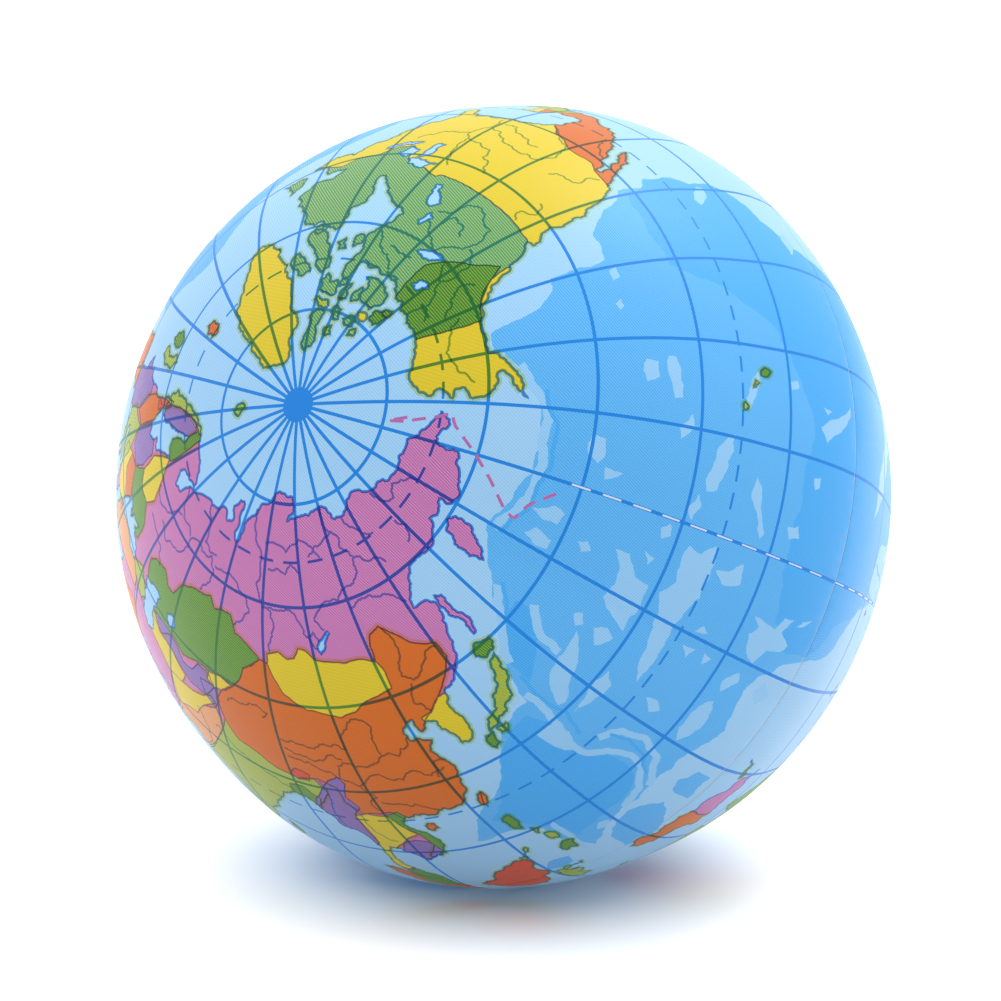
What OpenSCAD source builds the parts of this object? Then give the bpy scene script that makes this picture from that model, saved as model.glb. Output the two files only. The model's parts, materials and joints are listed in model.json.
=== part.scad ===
// Foam stress ball printed as a globe. A moulded foam ball is wrapped in two half shells of
// printed film, which meet at the equator on either side of a thin strip of bare foam.
// All lengths are in millimetres and all angles in degrees.
// The origin is the middle of the flat that the ball rests on, and +Z is up.

/* [Ball] */
// Diameter of the ball across its poles
ball_d = 63; // [60:0.5:100]
// Diameter of the flat that the ball's own weight presses into its underside
rest_d = 8; // [4:0.5:12]

/* [Printed film] */
// Thickness of the film
film_t = 0.35; // [0.2:0.05:0.6]
// Thickness of the bond between film and foam
bond_t = 0.05; // [0.02:0.01:0.1]

/* [Seam] */
// How far the ball swells at its equator
swell_h = 0.6; // [0.2:0.1:1.2]
// Latitude at which the swelling runs out
swell_lat = 20; // [15:1:30]
// Width of the strip of bare foam between the two films
seam_w = 0.3; // [0.2:0.1:1]
// How far the strip stands proud of the films
seam_lip = 0.05; // [0.05:0.05:0.3]

/* [Attitude] */
// Lean of the globe's north pole away from straight up
pole_lean = 67; // [0:1:90]
// Compass bearing of that lean, from +X towards +Y
pole_bearing = -124.7; // [-180:0.1:180]

/* [Hidden] */

$fn = 128;
ball_r = ball_d / 2;
// height of the ball's centre above the flat
centre_h = sqrt(ball_r^2 - (rest_d / 2)^2);

// The swelling is an arc about a point on the seam plane. It stands swell_h proud at the
// equator and meets the sphere at swell_lat, and these two conditions fix its centre and radius.
swell_x = (2 * ball_r * swell_h + swell_h^2) / (2 * ball_r * (1 - cos(swell_lat)) + 2 * swell_h);
swell_r = ball_r + swell_h - swell_x;

// larger than the ball in every direction
beyond = 2 * ball_d;

foam_colour = "ivory";
north_colour = "cornflowerblue";
south_colour = "deepskyblue";

// Places children that are drawn about the globe's own axis, with the pole along +Z.
module globe_frame() {
    translate([0, 0, centre_h]) rotate([0, pole_lean, pole_bearing]) children();
}

// One side of the ball's outline, set in by inset all round.
module outline(inset) {
    intersection() {
        union() {
            circle(r = ball_r - inset);
            translate([swell_x, 0]) circle(r = swell_r - inset);
        }
        translate([0, -beyond / 2]) square([beyond, beyond]);
    }
}

// The whole ball, set in by inset all round, with its underside pressed flat.
module ball(inset) {
    intersection() {
        globe_frame() rotate_extrude() outline(inset);
        translate([-beyond / 2, -beyond / 2, inset]) cube(beyond);
    }
}

// Everything on one side of the seam: side is 1 for the north and -1 for the south.
module beyond_seam(side) {
    edge = seam_w / 2 + bond_t;
    base = side > 0 ? edge : -edge - beyond;
    globe_frame() translate([-beyond / 2, -beyond / 2, base]) cube(beyond);
}

module skin(side) {
    intersection() {
        difference() {
            ball(0);
            ball(film_t);
        }
        beyond_seam(side);
    }
}

module foam_core() {
    color(foam_colour) union() {
        ball(film_t + bond_t);
        globe_frame() cylinder(r = ball_r + swell_h + seam_lip, h = seam_w, center = true);
    }
}

module north_skin() {
    color(north_colour) skin(1);
}

module south_skin() {
    color(south_colour) skin(-1);
}

foam_core();
north_skin();
south_skin();
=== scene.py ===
"""A foam stress ball printed as a globe: two skins of printed film round a moulded foam ball.

Each skin is drawn flat, as the printer drew it, and then wrapped onto its half of the ball. The
flat drawing is a polar map: a point's distance from the middle is its distance from the pole in
degrees, and its direction is its longitude. Every coast, border, river and grid line is an
outline on that drawing. The outlines cut the skin's mesh, so the edges of the print are real
edges, and each face keeps how much of each ink it carries. The film's material then lays those
inks down as line screens, the way the film was printed.
"""

import json
import math
import random

import bpy
import numpy as np
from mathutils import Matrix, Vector
from mathutils.geometry import delaunay_2d_cdt


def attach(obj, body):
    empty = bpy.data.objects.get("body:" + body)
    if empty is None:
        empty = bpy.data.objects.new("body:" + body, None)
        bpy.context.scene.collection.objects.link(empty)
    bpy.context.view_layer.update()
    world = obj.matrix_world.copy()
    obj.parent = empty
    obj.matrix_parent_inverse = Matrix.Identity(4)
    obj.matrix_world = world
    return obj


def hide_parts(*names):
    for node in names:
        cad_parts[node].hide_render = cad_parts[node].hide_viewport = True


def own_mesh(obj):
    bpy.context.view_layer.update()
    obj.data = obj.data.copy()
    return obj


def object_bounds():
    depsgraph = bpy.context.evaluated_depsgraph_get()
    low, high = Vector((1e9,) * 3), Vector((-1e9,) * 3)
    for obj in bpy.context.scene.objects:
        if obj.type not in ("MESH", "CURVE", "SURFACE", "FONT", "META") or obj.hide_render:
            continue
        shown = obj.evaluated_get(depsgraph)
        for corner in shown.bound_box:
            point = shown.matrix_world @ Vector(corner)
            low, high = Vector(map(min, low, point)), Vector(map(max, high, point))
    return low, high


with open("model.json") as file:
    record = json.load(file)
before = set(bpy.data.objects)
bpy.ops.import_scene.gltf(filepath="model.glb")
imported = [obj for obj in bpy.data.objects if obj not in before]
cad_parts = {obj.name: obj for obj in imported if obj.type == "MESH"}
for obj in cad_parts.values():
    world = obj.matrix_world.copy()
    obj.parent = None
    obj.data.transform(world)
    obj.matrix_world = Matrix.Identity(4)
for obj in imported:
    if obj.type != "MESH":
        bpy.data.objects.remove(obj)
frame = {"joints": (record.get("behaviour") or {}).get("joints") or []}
cad_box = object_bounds()

# ---------------------------------------------------------------- sizes, in metres and degrees

MM = 0.001
FILM = 0.35 * MM
BOND = 0.05 * MM
# The films are drawn together over the bare strip, until hardly any of it shows.
SEAM_GAP = 0.10 * MM
SEAM_DEPTH = 0.03 * MM
SWELL = 0.6 * MM
SWELL_LATITUDE = 20
EDGE_ROUND = 0.05 * MM

LOW, HIGH = (Vector(corner) for corner in cad_box)
RADIUS = (HIGH.x - LOW.x) / 2
CENTRE = Vector((0, 0, HIGH.z - RADIUS))

# The joint closes the two poles on each other, so its axis runs from the north pole southwards.
SQUEEZE = frame["joints"][0]
POLE = -Vector(SQUEEZE["axis"]).normalized()
EAST = Vector((0, 0, 1)).cross(POLE).normalized()
DOWN = EAST.cross(POLE)
# Turn of the print about the pole, from DOWN towards EAST.
PRIME_MERIDIAN = -95.4


# ------------------------------------------------------------------------------------- the map

# How much cyan, magenta and yellow ink each area carries.
INKS = {
    "pink": (0.18, 0.63, 0),
    "orange": (0.05, 0.62, 0.97),
    "green": (0.74, 0.06, 0.95),
    "fresh_green": (0.60, 0, 0.68),
    "yellow": (0.03, 0, 0.97),
    "purple": (0.48, 0.62, 0),
    "red": (0.05, 0.85, 0.80),
    "peach": (0, 0.38, 0.60),
    "lime": (0.33, 0, 0.85),
    "shelf": (0.38, 0, 0),
    "shoal": (0.43, 0, 0),
    "open_sea": (0.69, 0, 0),
    "deep": (0.78, 0, 0),
}


def outlines(text):
    """The outlines in the text, with ";" between them, as lists of longitude and latitude pairs."""
    return [[tuple(float(n) for n in place.split()) for place in outline.split(",")]
            for outline in text.split(";")]


def painted(text):
    """Pairs of ink and outline from the text, where each outline starts with its ink's name."""
    entries = [entry.split(maxsplit=1) for entry in text.split(";")]
    return [(INKS[name], *outlines(places)) for name, places in entries]


# Land: the ink that it is printed in where no country is drawn over it, and its coast.
LANDS = painted("""
pink 30 74, 34 73.6, 38 73.2, 42 72.6, 46 71.4, 48 70, 44 69.8, 40 69.6, 37 68.4, 40 66.6, 44 67,
45 68.5, 48 69.6, 51 70, 55 71, 60 71.6, 64 71.4, 67 72.2, 70.5 72.4, 73 71, 75.5 71.4, 74 73.4,
77 74.8, 79.6 74.9, 80 72, 78.6 70.2, 80 69, 82.2 69.8, 82.6 72, 85 73, 88 73.6, 91 75.2, 96 75.6,
99 76.4, 104 77.4, 108 77, 113 76.4, 113.6 75.2, 109.5 74, 107 73.3, 112 73.5, 116 73.7, 120 73.4,
124 73.8, 127 74, 130 73.4, 131.5 71.4, 134 71.3, 138 71.6, 141 72.6, 145 73, 149 72, 152.5 71.2,
157 71.1, 160 70, 164 69.8, 167 69.9, 170.5 70.4, 174 70, 178 70.2, 181 68.8, 184.5 68, 188 67.2,
190.5 66.3, 188.4 65.2, 185.4 65.3, 182 66.4, 179.4 65.6, 179 64.3, 179.4 63, 175.6 62.6, 172.6 61.6,
170 61.2, 167 60.6, 165 60.9, 164.6 62.8, 162.6 62.2, 160 61.8, 158 62.4, 156 61.2, 153.6 60.1,
150.5 59.9, 147 60.3, 143.4 59.8, 141 58.2, 138 56.6, 137.5 55.4, 140.5 55.3, 142.3 54.4, 142 52.4,
140.6 50.6, 139.4 48.4, 137.6 46.2, 135 44.6, 132 43.6, 131 42.2, 130.2 40, 130.6 37.5, 130.2 35.8,
128.6 34.8, 127.4 35, 127.2 37, 126 38.4, 126.2 39.8, 124.2 40.4, 122.4 39.2, 122.2 41.4, 120.6 41.2,
119 39.8, 119.4 38.4, 121.4 38, 123.2 37.4, 121.4 35.8, 122.4 34, 123.4 31.8, 122.6 29.4, 122 27.2,
120 25.2, 117 24.4, 113.5 24, 110.6 24.6, 108.6 24.2, 107.4 22.6, 108.6 20.6, 110.2 18.6, 110.6 16.2,
109.6 14, 107.4 13.2, 105.2 12.2, 104 14, 102.6 15.4, 100.8 16, 99.9 14.6, 99.6 12, 100.6 9.6, 102.8 7,
104.2 4, 104.2 1.6, 101.6 3, 99.8 6.6, 98.4 10.4, 98.7 13.6, 98.6 17, 97.6 19.6, 96.2 20.2, 95 20.8,
94.6 23, 93 25, 91.4 27.2, 89 27.4, 87 26.4, 84.6 24, 82 21, 79.6 17.4, 77.6 13.6, 76.4 9.6, 74.4 12.6,
72.6 16, 71 19.6, 68.6 22.4, 66.4 26.4, 61.6 27.4, 57.3 28.4, 56.5 30, 54 29.4, 51 31, 49 33.3, 48 32.8,
50.2 28.6, 51.5 26.4, 54 26, 56.3 27.6, 57.4 25.6, 59.7 23.6, 57.8 19, 55 17, 52 15.6, 45 12.8,
43.3 12.8, 42.7 16.5, 39.2 22, 37 26, 34.9 31, 32.5 32.6, 34.3 34.6, 35.9 38.4, 36 41, 32.5 40.4,
30.5 41, 27.5 41, 26.3 44, 27 46.4, 31 47.2, 35 48, 38 47, 41.5 47, 40 50, 37 51.4, 38.5 53, 35 52.4,
33.8 50.4, 32.8 52.2, 30.6 52.8, 28.7 50, 27.8 48, 29 46.4, 26 45.8, 23.8 45.2, 24 43, 22.8 41.2,
21.3 42.5, 19.5 45.6, 19.5 47, 15.2 49.6, 13.6 50.8, 12.3 51, 12.5 49.6, 14 48, 18.4 45.4, 16.9 45.6,
17 44, 15.7 42.6, 15.8 45, 12.3 47, 10.2 49.4, 8.8 50, 6 48.6, 3.1 48.5, 3.2 47, -0.3 44.4, -0.6 42.4,
-2 41.4, -5.5 40.4, -6.4 41.6, -9 41.8, -9.4 43.8, -8.7 46.2, -9.2 49, -1.7 49.4, -1.2 52.4, -4.6 55,
-1.5 55.8, -1.7 56.8, 1.5 57.6, 3 59, 4.4 60.6, 7 61.6, 7.2 64.4, 10.4 66.4, 11 63.8, 12.4 62.6,
14.6 61, 17.4 60.6, 19.6 61.4, 20 63, 22.4 62.6, 24.4 63, 27.4 65.4, 30 66.2, 26.6 66.6, 23.6 67.4,
25 69.6, 27.6 70.6, 26 71.4, 23 70, 19.6 68, 16.4 65.8, 13.2 64.4, 10.6 64.6, 6.4 66, 5 67.4, 7.4 69.2,
11 71, 15.4 72.8, 20 73.8, 25 74.4;
pink 156.4 57.6, 158 59.6, 160.6 60.4, 162.6 59.6, 162.4 58, 161 56, 159 54, 157.4 53.2, 156.2 55;
pink 143.4 55, 144.8 54.4, 144.6 51.6, 145.4 50.2, 144.6 47.6, 143.8 47.4, 144 50.6, 143 53;
yellow 203 71.2, 207 70.8, 212 70.2, 218.4 69.6, 222 69.4, 225.5 69.6, 228 69.8, 231 69.2, 235 69.6,
237 68.8, 240 69.2, 244 68.4, 246 67.6, 250 67.6, 252.5 68, 256 67.4, 260 68, 263 67.2, 265 68.6,
264.6 70.4, 267 71.2, 269 69.8, 268.4 68, 267 66.4, 268 64.8, 269 63.2, 267 61.6, 264.6 60, 263.8 58.2,
266.6 57.2, 270 56.4, 273 55, 275 53.2, 277.4 51.4, 278.8 51.6, 278.6 54, 277 55.6, 277.6 57.6,
280.6 58.8, 280.2 61.8, 281.6 63, 285 62.2, 288 61, 290.6 61.6, 294 61, 296 58, 299 55.8, 300 53,
296.6 50.6, 293 50.8, 290 48.6, 294.5 49, 296 46.5, 299.8 45.8, 294 43.6, 291 44.3, 289.3 42, 286 40.6,
284 37.2, 281.5 33.8, 278.8 31.2, 280 26.8, 279 25.2, 277.3 28, 275.5 30, 270.5 29.2, 267 29.2,
263.6 27.6, 262.2 22.5, 264 19, 268.5 18.5, 269.5 21.2, 273 21.4, 272 18, 271.5 15.9, 276.5 15.9,
276.5 11, 278 9.2, 282.5 8.7, 280 7.3, 276.5 8.5, 274 10.5, 271 13.2, 267 14.6, 263 15.8, 259 17.6,
256 20, 253.6 23, 250.4 26.6, 248 29.4, 247 31.4, 246 31, 247.6 28, 249.6 25, 250.4 22.6, 249 24,
246.6 27, 244.6 29.6, 243 32, 240.4 34, 239 36.4, 237 39.4, 236.6 42.4, 236.8 45, 235.8 47, 234 49,
235.4 49.4, 232.8 51, 231.4 53.4, 229 55.6, 226 58, 222 59.6, 218.6 60.2, 214.6 60.2, 211 60.4,
209 60.2, 208.6 59, 206.6 58, 204 57, 200.4 55.8, 196.6 55, 199.6 56.6, 203.6 58.2, 203 59.2,
199.8 59.4, 198 60, 196.4 61.4, 196 62.8, 199 63.6, 198.6 64.8, 195.4 65.2, 197.6 66.2, 198.8 67,
196 68.2, 197.4 69.8, 200 70.6;
yellow 288 84.2, 297 84.6, 308 84.4, 320 84, 326 82.6, 327 79.6, 325.6 77.4, 327 75, 325 72, 321.6 70.2,
318.6 68.8, 316.6 67, 314.4 65, 312.6 62.6, 309.4 61.8, 305 62.8, 302 64.4, 300.4 67, 297.4 68.2,
296.4 70.6, 293.4 72.6, 291.4 75.4, 287 77.2, 285.6 79.6, 289 81, 286 82.8;
orange 334.5 70, 337 71, 340 70.6, 341 69, 338.5 67.8, 335.8 68.2;
lime 14 82.4, 17 83.2, 21 83.2, 24 82.4, 27 82, 24 81.4, 20 81.2, 17 81.6;
lime 354 58.6, 357 60.4, 358 63, 355.6 64.6, 353 63.4, 354.4 61, 351.6 59.8;
green 348.6 60, 351 62.6, 348.8 63.6, 346 61.6
""")
# The islands north of Canada.
LANDS += painted("""
fresh_green 262 81.6, 268 82.6, 274 81.8, 273 79.6, 275.6 77.6, 272 76.2, 266 76.6, 267.4 79, 264 80;
green 234.6 72.2, 236 74, 240.4 73.8, 241.6 72.4, 238.4 71.2, 236 70.6;
lime 242 71.4, 244.4 73, 250 72.8, 254.4 72.2, 253.6 70.4, 257.6 69.4, 252 68.9, 247 69.2, 243.4 69.8;
yellow 241 74.6, 245 74.9, 247.4 74.2, 244.6 73.6, 242 73.8;
fresh_green 243.6 76.2, 248.4 76.8, 252.4 76.2, 250 75.2, 245.6 75.2;
lime 238 76.8, 241.6 77.6, 243 76.8, 240.6 76;
yellow 253 73, 255.6 73.6, 257.4 72.2, 255.4 71;
fresh_green 254.6 76.6, 258 77, 262 76.2, 261.4 75, 257 75.2;
lime 252 79, 256.6 79.6, 260 78.6, 256 77.8;
green 259 73.6, 262.6 74.2, 264 72.6, 261 71.2;
yellow 264 71.8, 266.6 72.4, 267 71.2, 265 70.6;
fresh_green 266.4 73.6, 271 73.8, 276 73.4, 277.6 71.8, 275.6 70.6, 272.6 72, 269 71.4;
lime 266.4 75.8, 272 75.9, 277 75, 275 74.4, 268 74.8;
green 276.6 69.6, 279 70.6, 281.6 70, 284 68.4, 286.6 66.6, 289.6 65.4, 290.6 63, 287 62.6, 283.6 64,
281.4 65.6, 279.6 67.6;
lime 268.8 64.8, 271.4 65.8, 272.6 63.8, 270.4 63.4;
lime 273.6 66.2, 276.4 66.6, 278.4 65.2, 276 64.4;
fresh_green 285 70.4, 289 71, 292.6 69.6, 295.6 67.4, 293 66.6, 289.6 68, 286.6 69.2;
yellow 285 62.4, 288 63.6, 289.8 62.6, 287.6 61.6;
green 300.7 47.7, 303.5 51.5, 304.5 49.5, 307 47.5
""")
# Asia's island chains.
LANDS += painted("""
lime 144 43.6, 142.8 41.6, 142.4 39.6, 140.4 37.2, 137.6 35.8, 134.6 34.8, 132.8 34.2, 133.4 35.6,
136.6 37, 138.2 39, 140.4 40.8, 142 43;
green 140.8 44.8, 142.4 46.4, 145.4 45.8, 144.6 44.2, 142.2 43.8;
green 131.4 34.2, 133.2 34.4, 132.8 32.2, 131.6 31.6, 131 33;
lime 134 34.4, 136 34.4, 135.4 33.2, 134.2 33.4;
orange 122.6 25.4, 123.6 26, 123.4 23.8, 122.6 22.4, 122 23.6;
orange 110.6 21.6, 112.4 22, 112.6 20.8, 111.2 20.2;
green 122.4 19, 123.8 19.6, 124.2 17.6, 123.8 15.6, 122.6 16.4;
lime 124.6 15.2, 125.8 14.4, 125 13.2;
lime 125.4 12.6, 126.8 12.2, 126.6 10.6, 125.6 11;
green 125 8, 126.4 9.4, 127.8 8.8, 127 6.6, 125.4 6.8;
lime 118.6 8.6, 121 11.2, 121.4 10.8, 119.4 8;
red 108 1.6, 109.6 2.8, 111.6 4.2, 114 6.4, 117 8, 119.6 7.4, 118.6 5, 119.4 2.6, 117.8 0.8, 117 -2,
115.6 -4, 112 -3.4, 110 -2.6, 109 0;
orange 95.4 8.6, 98 8, 101 5.6, 103.6 2.4, 105.6 -2, 105.4 -5.6, 102.6 -4, 99.6 0.4, 97 4.6;
lime 119.6 -1, 120 1.6, 124.8 2, 124.4 1, 121 0.6, 123.2 -1, 121.6 -2, 122.6 -4.6, 120.6 -5.4;
green 80 13.4, 81.6 11.4, 81 9.8, 79.6 11;
lime 199.6 23.2, 201 23, 200.4 22.4;
yellow 203.4 21.4, 204.8 21, 204.4 20.2;
green 205.6 19.8, 207 19, 206.6 17.8, 205.6 18.6
""")
# Africa and South America run across the seam.
LANDS += painted("""
yellow -6 40, -2 38.8, 3 40.6, 10 41.2, 11 38, 15 36, 19.6 34, 22 36.4, 29 34.6, 32.4 34.6, 32.6 32,
35.6 26, 37.2 21, 39.6 15.4, 43.2 11.8, 51 12, 48 5, 44 1.2, 40.4 -2.6, 39 -6, 40.6 -11, 40.4 -15,
35.6 -19, 35.4 -24, 32.8 -27, 31 -30, 27 -33.8, 20 -34.8, 18.2 -32.6, 15.2 -27, 14.4 -22, 12 -17,
13.6 -11, 12 -5.6, 9 -1, 9.8 2.4, 8.6 4.6, 4.4 6.4, 1.4 6.2, -4 5.2, -7.6 4.4, -11 6.8, -13.6 9.6,
-16.6 12.6, -17.4 15, -16.2 20, -17 22.6, -13 28.6, -9.8 32.6;
green 283 8.8, 285 11, 288.6 12.2, 290 11.4, 295 10.8, 298.4 9.6, 302 6.8, 308.4 5, 310 1, 312 -1.4,
316 -2.8, 320.6 -3.6, 325 -7.4, 321.6 -13, 320.6 -18, 318 -22.8, 312 -25.6, 309.6 -30, 305.6 -34.6,
303 -36.6, 301 -38.6, 296 -41.6, 294.6 -45.4, 292 -48.6, 291.4 -52.4, 287.6 -53.8, 284.6 -49, 286.4 -42,
288.4 -33, 289.6 -24, 288.6 -18.4, 284 -14, 280.4 -7, 279 -3.2, 280 0.6, 282.4 4.6, 282 7.2;
red 49.4 -12.4, 50.4 -15.6, 47.4 -24.6, 44.4 -25, 43.6 -21, 45 -16
""")
# Australia and the islands south of the seam.
LANDS += painted("""
orange 131 -0.9, 134.4 -1.2, 138 -1.8, 141 -2.6, 141 -9.2, 138.4 -8.2, 137.6 -5.6, 133.4 -4, 131.6 -2.4;
pink 141 -2.6, 145 -4.2, 147.6 -6, 150.8 -10.4, 147.2 -9.6, 143.6 -8.8, 141 -9.2;
green 148.4 -5.8, 150.6 -5.4, 152.2 -4.2, 151.4 -6, 149 -6.4;
pink 114 -24, 117 -22.6, 121.6 -20, 125 -17.4, 129 -17.6, 130.8 -15, 136.6 -15.4, 135.8 -18, 139.4 -20,
141 -17, 142.4 -13.4, 145.4 -17.6, 148.8 -22.2, 153 -26.4, 153.4 -30, 150 -37.4, 146.4 -39, 143.4 -38.6,
139.6 -36.4, 137.6 -33.4, 134 -32.8, 131 -31.4, 124 -33, 119.8 -34, 115.2 -34.2, 115.8 -31.4, 113.6 -26;
green 144.8 -40.8, 148.2 -41, 147 -43.6, 145.4 -42.8;
green 172.8 -34.6, 175.4 -36.8, 178.4 -37.8, 176.6 -40.6, 174.8 -41.4, 174.6 -38.6;
green 172.8 -40.8, 174.2 -41.8, 171 -44.8, 168.4 -46.6, 166.8 -45.8, 170 -43;
lime 105.6 -6, 108.6 -6.8, 112.6 -6.8, 114.4 -8.2, 110 -8.2, 106.4 -7.4;
yellow 124 -10.2, 127 -8.6, 125 -9.2, 123.6 -10.4;
peach 164 -20.2, 167 -22.2, 165.6 -21.8;
red 177.4 -17.4, 178.6 -17.6, 178 -18.4;
yellow 300 -63.4, 297 -65.6, 294.6 -69, 299 -75.4, 310 -78, 325 -78, 333 -75, 345 -71.4, 0 -69.8,
20 -69.8, 38 -69.4, 50 -66.6, 60 -67.4, 70 -68.6, 74 -70, 80 -67.8, 100 -65.8, 115 -66.8, 135 -66,
150 -68.4, 165 -71, 167 -77.8, 190 -78.4, 203 -77, 215 -74.6, 235 -74, 250 -74.6, 260 -72.8, 285 -73.2,
292 -69.4, 296 -64.6
""")

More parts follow.
